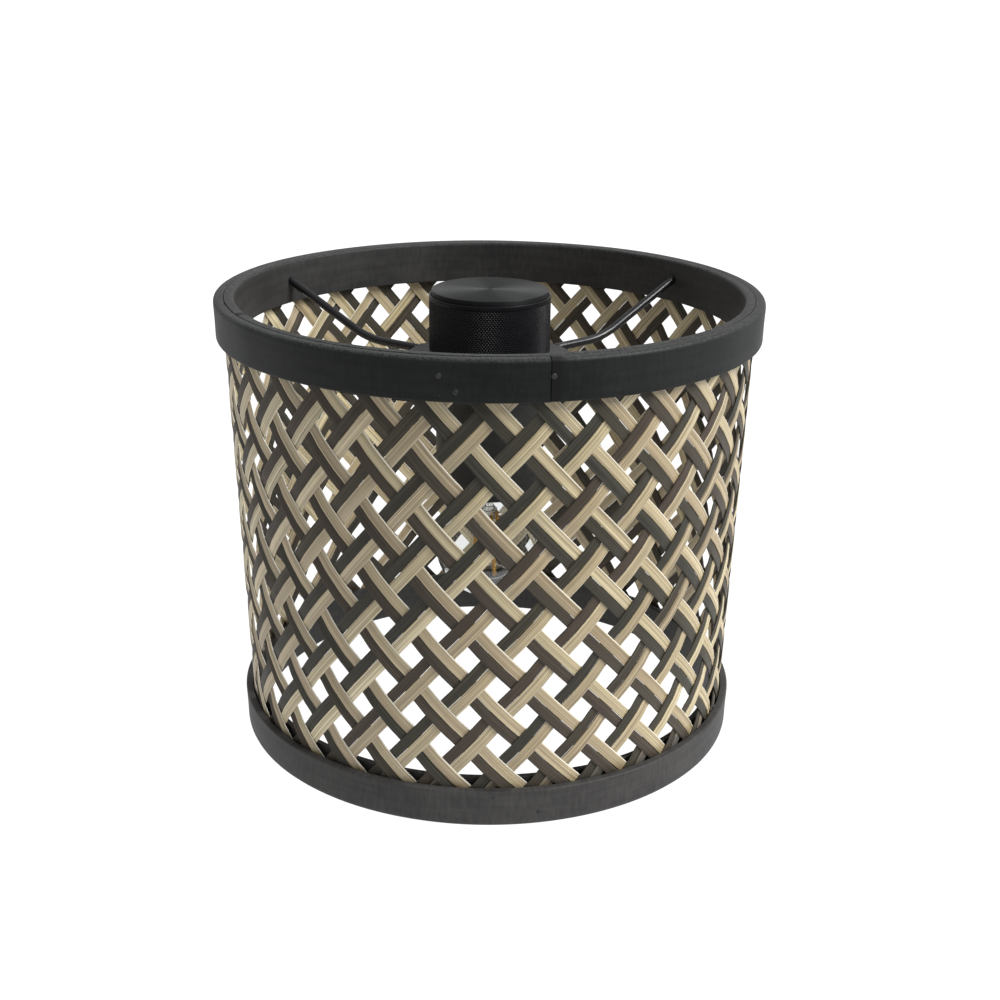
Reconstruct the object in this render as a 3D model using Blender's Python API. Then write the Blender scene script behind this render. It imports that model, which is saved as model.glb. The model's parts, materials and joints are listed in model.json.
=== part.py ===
"""A woven bamboo lantern: a tapered drum of plaited strips between two pairs of black hoops, with a
bent-wire spider that carries a lift-out battery lamp. Metres, +Z up. The origin is the centre of the
circle that the lantern stands on."""

import math

import bmesh
import bpy
from mathutils import Vector

MM = 0.001
GAP = 0.3  # clearance between touching pieces

# Shade: every radius is counted inwards from the skin, the cone that the outer hoops' faces lie on.
SHADE_HEIGHT = 167.3
TOP_RADIUS = 100.0
TAPER = 0.0295  # radius lost per unit of height, going down
OUTER_HOOP_THICK = 2.7
INNER_HOOP_THICK = 2.2
TOP_HOOP_LOW = 153.0
TOP_INNER_HOOP_LOW = 151.0
BOTTOM_HOOP_HIGH = 14.0
BOTTOM_INNER_HOOP_HIGH = 16.5
HOOP_CHAMFER = 0.8
HOOP_SIDES = 64
CASING_SIDES = 32

# Weave: strips run in pairs, one natural and one black, at equal slopes to the left and to the right.
PAIRS = 31
LEFT_PITCH = 21.12  # height between two strip pairs that climb to the left
RIGHT_PITCH = 22.14
STRIP_THICK = 0.6
NATURAL_WIDTH = 0.287  # share of the pitch
BLACK_WIDTH = 0.270
LEFT_PHASE = 0.857  # where the pair's black edge crosses azimuth zero, as a share of the pitch
RIGHT_PHASE = 0.359
WEAVE_LOW = 2.0
WEAVE_HIGH = 164.0
EDGE_RING_HEIGHT = 6.0
LEFT_STRIPS_DEPTH = OUTER_HOOP_THICK + GAP
RIGHT_STRIPS_DEPTH = LEFT_STRIPS_DEPTH + STRIP_THICK + GAP
INNER_HOOP_DEPTH = RIGHT_STRIPS_DEPTH + STRIP_THICK + 0.8

# Spider
PLATE_TOP = 142.0
PLATE_THICK = 1.2
PLATE_RADIUS = 31.5
PLATE_HOLE_RADIUS = 21.3
WIRE_RADIUS = 1.6
ARM_AZIMUTHS = (37.0, 149.0, 273.0)
ARM_LEVEL = 140.6
ARM_BEND_RADIUS = 55.0
ARM_BEND_RISE = 0.5
ARM_BEND_FILLET = 8.0
ARM_TIP_RADIUS = 93.7
ARM_TIP_HEIGHT = 160.6

# Lamp casing
HOUSING_RADIUS = 20.0
HOUSING_BORE = 18.2
HOUSING_LOW = 91.0
HOUSING_FLOOR_THICK = 2.0
HOUSING_MOUTH_RADIUS = 12.0
FLANGE_RADIUS = 22.3
FLANGE_THICK = 1.2
SPIGOT_HIGH = 156.0
GROOVE_LOW = 147.0
GROOVE_HIGH = 149.0
GROOVE_RADIUS = 19.0
BARREL_RADIUS = 22.4
BARREL_BORE = 20.6
BARREL_HIGH = 165.5
BARREL_RIM_BORE = 21.8
WEB_HIGH = 163.7  # the wall inside the barrel, under the button
WEB_LOW = 162.9
WEB_HOLE_RADIUS = 2.0
CASING_CHAMFER = 0.5

# Button
BUTTON_RADIUS = 21.45
BUTTON_HIGH = 167.3
BUTTON_LOW = 165.2
STEM_RADIUS = 1.6
STEM_NECK_RADIUS = 1.1
STEM_LOW = 161.4
CLIP_LOW = 162.0
CLIP_THICK = 0.5
CLIP_RADIUS = 3.2

# Batteries and their holder
CELL_COUNT = 3
CELL_RADIUS = 5.2
CELL_PITCH_RADIUS = 7.5
CELL_LOW = 112.3
CELL_LENGTH = 44.5
NUB_RADIUS = 1.9
NUB_HEIGHT = 0.8
HOLDER_RADIUS = 17.6
HOLDER_LOW = 107.5
HOLDER_BASE_THICK = 1.2
COLUMN_RADIUS = 1.6
POST_RADIUS = 1.5
POST_PITCH_RADIUS = 14.5
SPRING_RADIUS = 2.6
SPRING_WIRE_RADIUS = 0.25
SPRING_TURNS = 3
CONTACT_PLATE_RADIUS = 12.4
CONTACT_PLATE_THICK = 0.4
BOARD_RADIUS = 17.4
BOARD_LOW = 157.8
BOARD_THICK = 0.8
SWITCH_SIDE = 5.0
SWITCH_HEIGHT = 0.7
PLUNGER_HEIGHT = 0.3

# Bulb and its socket
CAP_RADIUS = 6.8
CAP_WALL = 0.6
CAP_LOW = 88.5
CAP_HIGH = 102.8
SHELL_BORE = 7.2
SHELL_LOW = 93.6
SHELL_HIGH = 103.0
INSULATOR_LOW = 93.3
INSULATOR_HIGH = 107.2
INSULATOR_BORE = 8.0
INSULATOR_RADIUS = 11.5
TIP_HIGH = 104.6
GLASS_CENTRE = 67.0
GLASS_RADIUS = 20.5
GLASS_WALL = 0.7
GLASS_NECK_RADIUS = 5.8
GLASS_HIGH = 97.0
FILAMENT_COUNT = 4
FILAMENT_RADIUS = 0.75
FILAMENT_HIGH = 80.0
FILAMENT_LOW = 56.5
FILAMENT_TOP_PITCH = 3.2
FILAMENT_FOOT_PITCH = 7.5
FILAMENT_FIRST_AZIMUTH = 20.0
CROWN_WIRE_RADIUS = 0.25

# Brads: azimuth from the front, towards +X, and height
TOP_BRADS = ((-9.0, 161.5), (-6.0, 156.5), (11.5, 161.5))
BOTTOM_BRADS = ((1.5, 11.5), (11.0, 5.0))
BRAD_HEAD_RADIUS = 1.0
BRAD_HEAD_THICK = 0.4
BRAD_SHANK_RADIUS = 0.5
BRAD_LENGTH = 1.9


def clear_scene():
    for thing in list(bpy.data.objects):
        bpy.data.objects.remove(thing)


def material(name, colour, roughness, metallic=0.0, alpha=1.0):
    made = bpy.data.materials.new(name)
    made.use_nodes = True
    shader = made.node_tree.nodes["Principled BSDF"]
    shader.inputs["Base Color"].default_value = (*colour, 1.0)
    shader.inputs["Roughness"].default_value = roughness
    shader.inputs["Metallic"].default_value = metallic
    shader.inputs["Alpha"].default_value = alpha
    made.diffuse_color = (*colour, alpha)
    return made


def group(name, parent=None):
    """An empty on the vertical axis that the pieces of one moving body hang from."""
    made = bpy.data.objects.new(name, None)
    bpy.context.collection.objects.link(made)
    made.parent = parent
    return made


def add_object(name, data, finish, parent):
    made = bpy.data.objects.new(name, data)
    bpy.context.collection.objects.link(made)
    data.materials.append(finish)
    made.parent = parent
    return made


def mesh_from(bm, name, smooth_below=35.0):
    bmesh.ops.recalc_face_normals(bm, faces=bm.faces)
    mesh = bpy.data.meshes.new(name)
    bm.to_mesh(mesh)
    bm.free()
    mesh.shade_smooth()
    mesh.set_sharp_from_angle(angle=math.radians(smooth_below))
    return mesh


def turned(name, profile, sides, finish, parent, centre=(0.0, 0.0)):
    """A closed (radius, height) outline in millimetres, spun round a vertical axis."""
    bm = bmesh.new()
    corners = [bm.verts.new((radius * MM, 0.0, height * MM)) for radius, height in profile]
    edges = []
    for first, second in zip(corners, corners[1:] + corners[:1]):
        if first.co.x == 0.0 and second.co.x == 0.0:
            continue
        edges.append(bm.edges.new((first, second)))
    bmesh.ops.spin(
        bm,
        geom=corners + edges,
        cent=(0.0, 0.0, 0.0),
        axis=(0.0, 0.0, 1.0),
        angle=math.tau,
        steps=sides,
    )
    bmesh.ops.remove_doubles(bm, verts=bm.verts, dist=0.001 * MM)
    made = add_object(name, mesh_from(bm, name), finish, parent)
    made.location = (centre[0] * MM, centre[1] * MM, 0.0)
    return made


def wire(name, points, radius, finish, parent, resolution=2, closed=False):
    """Round wire through points in millimetres, with capped ends unless it is closed."""
    curve = bpy.data.curves.new(name, "CURVE")
    curve.dimensions = "3D"
    curve.bevel_depth = radius * MM
    curve.bevel_resolution = resolution
    curve.use_fill_caps = not closed
    spline = curve.splines.new("POLY")
    spline.points.add(len(points) - 1)
    for target, point in zip(spline.points, points):
        target.co = (*(value * MM for value in point), 1.0)
    spline.use_cyclic_u = closed
    return add_object(name, curve, finish, parent)


def cutter(name, mesh):
    made = bpy.data.objects.new(name, mesh)
    bpy.context.collection.objects.link(made)
    made.hide_render = True
    made.display_type = "WIRE"
    return made


def cylinder_mesh(name, radius, length, sides):
    bm = bmesh.new()
    bmesh.ops.create_cone(
        bm,
        cap_ends=True,
        segments=sides,
        radius1=radius * MM,
        radius2=radius * MM,
        depth=length * MM,
    )
    return mesh_from(bm, name)


def combine(target, other, operation):
    step = target.modifiers.new(f"{operation.lower()}_{other.name}", "BOOLEAN")
    step.operation = operation
    step.object = other


def on_circle(radius, azimuth, height):
    """A point at an azimuth in degrees, counted from +X."""
    angle = math.radians(azimuth)
    return (radius * math.cos(angle), radius * math.sin(angle), height)


def from_front(azimuth):
    """An azimuth counted from the front, -Y, turned into one counted from +X."""
    return azimuth - 90.0


def skin(height):
    """The radius of the shade's outermost cone at a height."""
    return TOP_RADIUS - TAPER * (SHADE_HEIGHT - height)


# ---------------------------------------------------------------- shade


def hoop(name, depth, thick, low, high, chamfer, finish, parent):
    """A conical band whose faces follow the shade's taper, with chamfered outer edges."""
    outer_low = skin(low) - depth
    outer_high = skin(high) - depth
    profile = [
        (outer_low - thick, low),
        (outer_low - chamfer, low),
        (outer_low, low + chamfer),
        (outer_high, high - chamfer),
        (outer_high - chamfer, high),
        (outer_high - thick, high),
    ]
    if chamfer == 0.0:
        profile = [profile[0], profile[1], profile[4], profile[5]]
    return turned(name, profile, HOOP_SIDES, finish, parent)


def clipped(polygon, limit, keep_above):
    """The part of a (share, height) polygon that lies above or below a height."""
    kept = []
    for first, second in zip(polygon, polygon[1:] + polygon[:1]):
        first_in = (first[1] >= limit) == keep_above
        second_in = (second[1] >= limit) == keep_above
        if first_in:
            kept.append(first)
        if first_in != second_in:
            part = (limit - first[1]) / (second[1] - first[1])
            kept.append((first[0] + part * (second[0] - first[0]), limit))
    return kept


def strip_pieces(pitch, phase, lean, low, high):
    """The strip pairs' outlines within one facet of the shade, from its left edge, 0, to its right, 1."""
    width = (NATURAL_WIDTH + BLACK_WIDTH) * pitch
    pieces = []
    for row in range(-2, math.ceil(high / pitch) + 2):
        left = (row + phase) * pitch
        right = left + lean * pitch
        outline = [(0.0, left), (1.0, right), (1.0, right + width), (0.0, left + width)]
        outline = clipped(outline, low, True)
        if len(outline) > 2:
            outline = clipped(outline, high, False)
        if len(outline) > 2:
            pieces.append(outline)
    return pieces


def edge_ring_piece(low, high, shared_height, strips):
    """One facet of an edge ring, with a corner wherever a strip meets its shared edge."""
    shares = {0.0, 1.0}
    for outline in strips:
        shares.update(share for share, height in outline if height == shared_height)
    shared = [(share, shared_height) for share in sorted(shares)]
    if shared_height == high:
        return [(1.0, low), *reversed(shared), (0.0, low)]
    return [(0.0, high), *shared, (1.0, high)]


def strip_cage(name, depth, pitch, phase, lean, finish, parent):
    """All the strip pairs that lean one way, with real openings, joined by the two edge rings."""
    ring_low = WEAVE_LOW + EDGE_RING_HEIGHT
    ring_high = WEAVE_HIGH - EDGE_RING_HEIGHT
    strips = strip_pieces(pitch, phase, lean, ring_low, ring_high)
    outlines = strips + [
        edge_ring_piece(WEAVE_LOW, ring_low, ring_low, strips),
        edge_ring_piece(ring_high, WEAVE_HIGH, ring_high, strips),
    ]
    bm = bmesh.new()
    for facet in range(PAIRS):
        start = on_circle(1.0, from_front(facet * 360.0 / PAIRS), 0.0)
        end = on_circle(1.0, from_front((facet + 1) * 360.0 / PAIRS), 0.0)
        for outline in outlines:
            corners = []
            for share, height in outline:
                radius = skin(height) - depth
                x = (start[0] + share * (end[0] - start[0])) * radius
                y = (start[1] + share * (end[1] - start[1])) * radius
                corners.append(bm.verts.new((x * MM, y * MM, height * MM)))
            bm.faces.new(corners)
    bmesh.ops.remove_doubles(bm, verts=bm.verts, dist=0.001 * MM)
    bmesh.ops.recalc_face_normals(bm, faces=bm.faces)
    if sum(face.normal.dot(face.calc_center_median()) for face in bm.faces) < 0.0:
        bmesh.ops.reverse_faces(bm, faces=bm.faces)
    mesh = bpy.data.meshes.new(name)
    bm.to_mesh(mesh)
    bm.free()
    made = add_object(name, mesh, finish, parent)
    thicken = made.modifiers.new("thickness", "SOLIDIFY")
    thicken.thickness = STRIP_THICK * MM
    thicken.offset = -1.0
    return made


def brad(name, azimuth, height, hoop_object, finish, parent):
    """A small pin whose head lies in a counterbore, flush with the outer hoop's face."""
    surface = skin(height) - 0.1
    profile = [
        (0.0, -BRAD_LENGTH),
        (BRAD_SHANK_RADIUS, -BRAD_LENGTH),
        (BRAD_SHANK_RADIUS, -BRAD_HEAD_THICK),
        (BRAD_HEAD_RADIUS, -BRAD_HEAD_THICK),
        (BRAD_HEAD_RADIUS, 0.0),
        (0.0, 0.0),
    ]
    seat = [
        (0.0, -BRAD_LENGTH - GAP),
        (BRAD_SHANK_RADIUS + GAP, -BRAD_LENGTH - GAP),
        (BRAD_SHANK_RADIUS + GAP, -BRAD_HEAD_THICK - GAP),
        (BRAD_HEAD_RADIUS + GAP, -BRAD_HEAD_THICK - GAP),
        (BRAD_HEAD_RADIUS + GAP, 2.0),
        (0.0, 2.0),
    ]
    place = Vector(on_circle(surface * MM, from_front(azimuth), height * MM))
    outward = Vector(on_circle(1.0, from_front(azimuth), 0.0))
    turn = outward.to_track_quat("Z", "Y").to_euler()
    pin = turned(name, profile, 12, finish, parent)
    hole = turned(f"{name}_seat", seat, 12, finish, None)
    hole.hide_render = True
    hole.display_type = "WIRE"
    for piece in (pin, hole):
        piece.location = place
        piece.rotation_euler = turn
    combine(hoop_object, hole, "DIFFERENCE")
    return pin


def arm_path():
    """The (radius, height) points of a spider arm, with its bend rounded."""
    start = Vector((PLATE_RADIUS + GAP, ARM_LEVEL))
    bend = Vector((ARM_BEND_RADIUS, ARM_LEVEL + ARM_BEND_RISE))
    tip = Vector((ARM_TIP_RADIUS, ARM_TIP_HEIGHT))
    before = bend + (start - bend).normalized() * ARM_BEND_FILLET
    after = bend + (tip - bend).normalized() * ARM_BEND_FILLET
    points = [start]
    for step in range(7):
        share = step / 6
        points.append(before.lerp(bend, share).lerp(bend.lerp(after, share), share))
    points.append(tip)
    return points


def spider(inner_hoop, finish, parent):
    plate = [
        (PLATE_HOLE_RADIUS, PLATE_TOP - PLATE_THICK),
        (PLATE_RADIUS, PLATE_TOP - PLATE_THICK),
        (PLATE_RADIUS, PLATE_TOP),
        (PLATE_HOLE_RADIUS, PLATE_TOP),
    ]
    turned("spider_plate", plate, CASING_SIDES, finish, parent)
    path = arm_path()
    slope = path[-1] - path[-2]
    for number, azimuth in enumerate(ARM_AZIMUTHS, start=1):
        points = [on_circle(radius, azimuth, height) for radius, height in path]
        wire(f"spider_arm_{number}", points, WIRE_RADIUS, finish, parent)
        hole = cutter(
            f"arm_hole_{number}",
            cylinder_mesh(f"arm_hole_{number}", WIRE_RADIUS + 0.4, 12.0, 12),
        )
        direction = Vector(on_circle(slope.x, azimuth, slope.y))
        hole.location = Vector(points[-1]) * MM
        hole.rotation_euler = direction.to_track_quat("Z", "Y").to_euler()
        combine(inner_hoop, hole, "DIFFERENCE")


def shade(finishes, parent):
    black = finishes["black_bamboo"]
    hoops = {}
    for name, depth, thick, low, high, chamfer in (
        ("top_outer_hoop", 0.0, OUTER_HOOP_THICK, TOP_HOOP_LOW, SHADE_HEIGHT, HOOP_CHAMFER),
        ("top_inner_hoop", INNER_HOOP_DEPTH, INNER_HOOP_THICK, TOP_INNER_HOOP_LOW, SHADE_HEIGHT, 0.0),
        ("bottom_outer_hoop", 0.0, OUTER_HOOP_THICK, 0.0, BOTTOM_HOOP_HIGH, HOOP_CHAMFER),
        ("bottom_inner_hoop", INNER_HOOP_DEPTH, INNER_HOOP_THICK, 0.0, BOTTOM_INNER_HOOP_HIGH, 0.0),
    ):
        hoops[name] = hoop(name, depth, thick, low, high, chamfer, black, parent)
    natural = finishes["natural_bamboo"]
    strip_cage("weave_left_strips", LEFT_STRIPS_DEPTH, LEFT_PITCH, LEFT_PHASE, -1, natural, parent)
    strip_cage("weave_right_strips", RIGHT_STRIPS_DEPTH, RIGHT_PITCH, RIGHT_PHASE, 1, natural, parent)
    for hoop_name, prefix, places in (
        ("top_outer_hoop", "top_brad", TOP_BRADS),
        ("bottom_outer_hoop", "bottom_brad", BOTTOM_BRADS),
    ):
        for number, (azimuth, height) in enumerate(places, start=1):
            name = f"{prefix}_{number}"
            brad(name, azimuth, height, hoops[hoop_name], finishes["pin"], parent)
    spider(hoops["top_inner_hoop"], finishes["black_wire"], parent)


# ---------------------------------------------------------------- lamp casing


def lower_housing(finish, parent):
    seat = PLATE_TOP + GAP
    shoulder = seat + FLANGE_THICK
    profile = [
        (HOUSING_MOUTH_RADIUS, HOUSING_LOW),
        (HOUSING_RADIUS - CASING_CHAMFER, HOUSING_LOW),
        (HOUSING_RADIUS, HOUSING_LOW + CASING_CHAMFER),
        (HOUSING_RADIUS, seat),
        (FLANGE_RADIUS, seat),
        (FLANGE_RADIUS, shoulder),
        (HOUSING_RADIUS, shoulder),
        (HOUSING_RADIUS, GROOVE_LOW),
        (GROOVE_RADIUS, GROOVE_LOW),
        (GROOVE_RADIUS, GROOVE_HIGH),
        (HOUSING_RADIUS, GROOVE_HIGH),
        (HOUSING_RADIUS, SPIGOT_HIGH),
        (HOUSING_BORE, SPIGOT_HIGH),
        (HOUSING_BORE, HOUSING_LOW + HOUSING_FLOOR_THICK),
        (HOUSING_MOUTH_RADIUS, HOUSING_LOW + HOUSING_FLOOR_THICK),
    ]
    turned("lower_housing", profile, CASING_SIDES, finish, parent)


def seal_ring(finish, parent):
    minor = (BARREL_BORE - GROOVE_RADIUS) / 2 - GAP
    centre = (BARREL_BORE + GROOVE_RADIUS) / 2
    height = (GROOVE_LOW + GROOVE_HIGH) / 2
    profile = []
    for step in range(5):
        angle = math.tau * step / 5
        profile.append((centre + minor * math.cos(angle), height + minor * math.sin(angle)))
    turned("seal_ring", profile, CASING_SIDES, finish, parent)


def knurled_barrel(finish, parent):
    low = PLATE_TOP + GAP + FLANGE_THICK + GAP
    profile = [
        (BARREL_BORE, low),
        (BARREL_RADIUS - CASING_CHAMFER, low),
        (BARREL_RADIUS, low + CASING_CHAMFER),
        (BARREL_RADIUS, BARREL_HIGH - CASING_CHAMFER),
        (BARREL_RADIUS - CASING_CHAMFER, BARREL_HIGH),
        (BARREL_RIM_BORE, BARREL_HIGH),
        (BARREL_RIM_BORE, WEB_HIGH),
        (WEB_HOLE_RADIUS, WEB_HIGH),
        (WEB_HOLE_RADIUS, WEB_LOW),
        (BARREL_BORE, WEB_LOW),
    ]
    turned("knurled_barrel", profile, CASING_SIDES, finish, parent)


def button(finishes, parent):
    cap = [
        (0.0, STEM_LOW),
        (STEM_RADIUS, STEM_LOW),
        (STEM_RADIUS, CLIP_LOW - GAP),
        (STEM_NECK_RADIUS, CLIP_LOW - GAP),
        (STEM_NECK_RADIUS, CLIP_LOW + CLIP_THICK + GAP),
        (STEM_RADIUS, CLIP_LOW + CLIP_THICK + GAP),
        (STEM_RADIUS, BUTTON_LOW),
        (BUTTON_RADIUS, BUTTON_LOW),
        (BUTTON_RADIUS, BUTTON_HIGH - CASING_CHAMFER),
        (BUTTON_RADIUS - CASING_CHAMFER, BUTTON_HIGH),
        (0.0, BUTTON_HIGH),
    ]
    turned("button_cap", cap, CASING_SIDES, finishes["matte_black"], parent)
    clip_bore = STEM_NECK_RADIUS + GAP
    clip = [
        (clip_bore, CLIP_LOW),
        (CLIP_RADIUS, CLIP_LOW),
        (CLIP_RADIUS, CLIP_LOW + CLIP_THICK),
        (clip_bore, CLIP_LOW + CLIP_THICK),
    ]
    turned("button_clip", clip, 16, finishes["steel"], parent)


# ---------------------------------------------------------------- batteries and switch


def battery_holder(finish, parent):
    base_high = HOLDER_LOW + HOLDER_BASE_THICK
    profile = [
        (0.0, HOLDER_LOW),
        (HOLDER_RADIUS, HOLDER_LOW),
        (HOLDER_RADIUS, base_high),
        (COLUMN_RADIUS, base_high),
        (COLUMN_RADIUS, CELL_LOW + CELL_LENGTH),
        (0.0, CELL_LOW + CELL_LENGTH),
    ]
    holder = turned("battery_holder", profile, 24, finish, parent)
    post_low = HOLDER_LOW + HOLDER_BASE_THICK / 2
    post_high = BOARD_LOW - GAP
    for number in range(CELL_COUNT):
        azimuth = 360.0 / CELL_COUNT * (number + 0.5)
        name = f"holder_post_{number + 1}"
        post = cutter(name, cylinder_mesh(name, POST_RADIUS, post_high - post_low, 10))
        centre = on_circle(POST_PITCH_RADIUS, azimuth, (post_low + post_high) / 2)
        post.location = Vector(centre) * MM
        combine(holder, post, "UNION")


def battery_cell(number, finishes, parent):
    azimuth = 360.0 / CELL_COUNT * number
    x, y, _ = on_circle(CELL_PITCH_RADIUS, azimuth, 0.0)
    high = CELL_LOW + CELL_LENGTH
    shoulder = high - NUB_HEIGHT
    cell = [
        (0.0, CELL_LOW),
        (CELL_RADIUS - CASING_CHAMFER, CELL_LOW),
        (CELL_RADIUS, CELL_LOW + CASING_CHAMFER),
        (CELL_RADIUS, shoulder - CASING_CHAMFER),
        (CELL_RADIUS - CASING_CHAMFER, shoulder),
        (NUB_RADIUS, shoulder),
        (NUB_RADIUS, high),
        (0.0, high),
    ]
    turned(f"battery_cell_{number + 1}", cell, 16, finishes["cell_wrap"], parent, (x, y))
    low = HOLDER_LOW + HOLDER_BASE_THICK + GAP + SPRING_WIRE_RADIUS
    rise = CELL_LOW - GAP - SPRING_WIRE_RADIUS - low
    steps = 8 * SPRING_TURNS
    coil = []
    for step in range(steps + 1):
        share = step / steps
        turn = 360.0 * SPRING_TURNS * share
        coil.append(on_circle(SPRING_RADIUS * (1.2 - 0.4 * share), turn, low + rise * share))
    spring = wire(
        f"contact_spring_{number + 1}",
        coil,
        SPRING_WIRE_RADIUS,
        finishes["steel"],
        parent,
        resolution=0,
    )
    spring.location = (x * MM, y * MM, 0.0)


def switch_board(finishes, parent):
    plate_low = CELL_LOW + CELL_LENGTH + GAP
    plate = [
        (0.0, plate_low),
        (CONTACT_PLATE_RADIUS, plate_low),
        (CONTACT_PLATE_RADIUS, plate_low + CONTACT_PLATE_THICK),
        (0.0, plate_low + CONTACT_PLATE_THICK),
    ]
    turned("contact_plate", plate, 24, finishes["brass"], parent)
    board_high = BOARD_LOW + BOARD_THICK
    disc = [(0.0, BOARD_LOW), (BOARD_RADIUS, BOARD_LOW), (BOARD_RADIUS, board_high), (0.0, board_high)]
    board = turned("circuit_board", disc, 24, finishes["board_green"], parent)
    screw = [
        (0.0, BOARD_LOW),
        (0.6, BOARD_LOW),
        (0.6, board_high + GAP),
        (1.4, board_high + GAP),
        (1.4, board_high + GAP + 0.7),
        (0.0, board_high + GAP + 0.7),
    ]
    for number in range(CELL_COUNT):
        azimuth = 360.0 / CELL_COUNT * (number + 0.5)
        x, y, _ = on_circle(POST_PITCH_RADIUS, azimuth, 0.0)
        turned(f"board_screw_{number + 1}", screw, 12, finishes["steel"], parent, (x, y))
        name = f"screw_hole_{number + 1}"
        hole = cutter(name, cylinder_mesh(name, 0.9, 4.0, 12))
        hole.location = (x * MM, y * MM, BOARD_LOW * MM)
        combine(board, hole, "DIFFERENCE")
    tact_switch(board_high + GAP, finishes["matte_black"], parent)


def tact_switch(low, finish, parent):
    """A square switch body with its plunger raised from the top face."""
    bm = bmesh.new()
    bmesh.ops.create_cube(bm, size=1.0)
    bmesh.ops.scale(bm, vec=(SWITCH_SIDE * MM, SWITCH_SIDE * MM, SWITCH_HEIGHT * MM), verts=bm.verts)
    bmesh.ops.translate(bm, vec=(0.0, 0.0, (low + SWITCH_HEIGHT / 2) * MM), verts=bm.verts)
    top = max(bm.faces, key=lambda face: face.calc_center_median().z)
    bmesh.ops.inset_region(bm, faces=[top], thickness=1.3 * MM)
    raised = bmesh.ops.extrude_face_region(bm, geom=[top])
    lifted = [item for item in raised["geom"] if isinstance(item, bmesh.types.BMVert)]
    bmesh.ops.translate(bm, vec=(0.0, 0.0, PLUNGER_HEIGHT * MM), verts=lifted)
    bmesh.ops.delete(bm, geom=[top], context="FACES_ONLY")
    add_object("tact_switch", mesh_from(bm, "tact_switch"), finish, parent)


# ---------------------------------------------------------------- socket and bulb


def socket(finishes, parent):
    insulator = [
        (INSULATOR_BORE, INSULATOR_LOW),
        (INSULATOR_RADIUS, INSULATOR_LOW),
        (INSULATOR_RADIUS, INSULATOR_HIGH - 1.2),
        (HOLDER_RADIUS, INSULATOR_HIGH - 1.2),
        (HOLDER_RADIUS, INSULATOR_HIGH),
        (0.0, INSULATOR_HIGH),
        (0.0, INSULATOR_HIGH - 1.2),
        (INSULATOR_BORE, INSULATOR_HIGH - 1.2),
    ]
    turned("socket_insulator", insulator, 24, finishes["ceramic"], parent)
    shell = [
        (SHELL_BORE, SHELL_LOW),
        (SHELL_BORE + 0.5, SHELL_LOW),
        (SHELL_BORE + 0.5, SHELL_HIGH),
        (SHELL_BORE, SHELL_HIGH),
    ]
    turned("socket_screw_shell", shell, 24, finishes["brass"], parent)
    contact_low = TIP_HIGH + GAP
    contact = [
        (0.0, contact_low),
        (3.5, contact_low),
        (3.5, contact_low + 0.7),
        (0.0, contact_low + 0.7),
    ]
    turned("socket_contact", contact, 16, finishes["brass"], parent)


def bulb_base(finishes, parent):
    inner = CAP_RADIUS - CAP_WALL
    shoulder = CAP_HIGH - 1.6
    hole = 4.4
    cap = [
        (inner, CAP_LOW),
        (CAP_RADIUS, CAP_LOW),
        (CAP_RADIUS, shoulder),
        (hole + CAP_WALL, CAP_HIGH),
        (hole, CAP_HIGH),
        (inner, shoulder),
    ]
    turned("bulb_cap", cap, 24, finishes["nickel"], parent)
    plug = [
        (0.0, CAP_HIGH - 1.0),
        (hole - GAP, CAP_HIGH - 1.0),
        (hole - GAP, CAP_HIGH + 0.6),
        (0.0, CAP_HIGH + 0.9),
    ]
    turned("bulb_cap_insulator", plug, 16, finishes["black_glass"], parent)
    tip = [
        (0.0, CAP_HIGH + 1.2),
        (2.2, CAP_HIGH + 1.2),
        (1.6, TIP_HIGH - 0.1),
        (0.0, TIP_HIGH),
    ]
    turned("bulb_tip", tip, 16, finishes["nickel"], parent)


def glass_outline(inset):
    """The bulb's outside, or its inside, from the mouth in the cap down to the bottom pole."""
    radius = GLASS_RADIUS - inset
    neck = GLASS_NECK_RADIUS - inset
    points = [(neck, GLASS_HIGH), (neck, CAP_LOW + 1.0)]
    join_angle = 52.0
    join = on_circle(radius, join_angle, 0.0)
    start = Vector(points[-1])
    end = Vector((join[0], GLASS_CENTRE + join[1]))
    pull = Vector((neck + 0.4, end.y + 3.4))
    for step in range(1, 4):
        share = step / 4
        points.append(tuple(start.lerp(pull, share).lerp(pull.lerp(end, share), share)))
    steps = 8
    for step in range(steps + 1):
        angle = join_angle - (join_angle + 90.0) * step / steps
        across, up, _ = on_circle(radius, angle, 0.0)
        points.append((across if step < steps else 0.0, GLASS_CENTRE + up))
    return points


def bulb_glass(finish, parent):
    profile = glass_outline(0.0) + list(reversed(glass_outline(GLASS_WALL)))
    turned("bulb_glass", profile, 24, finish, parent)


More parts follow.
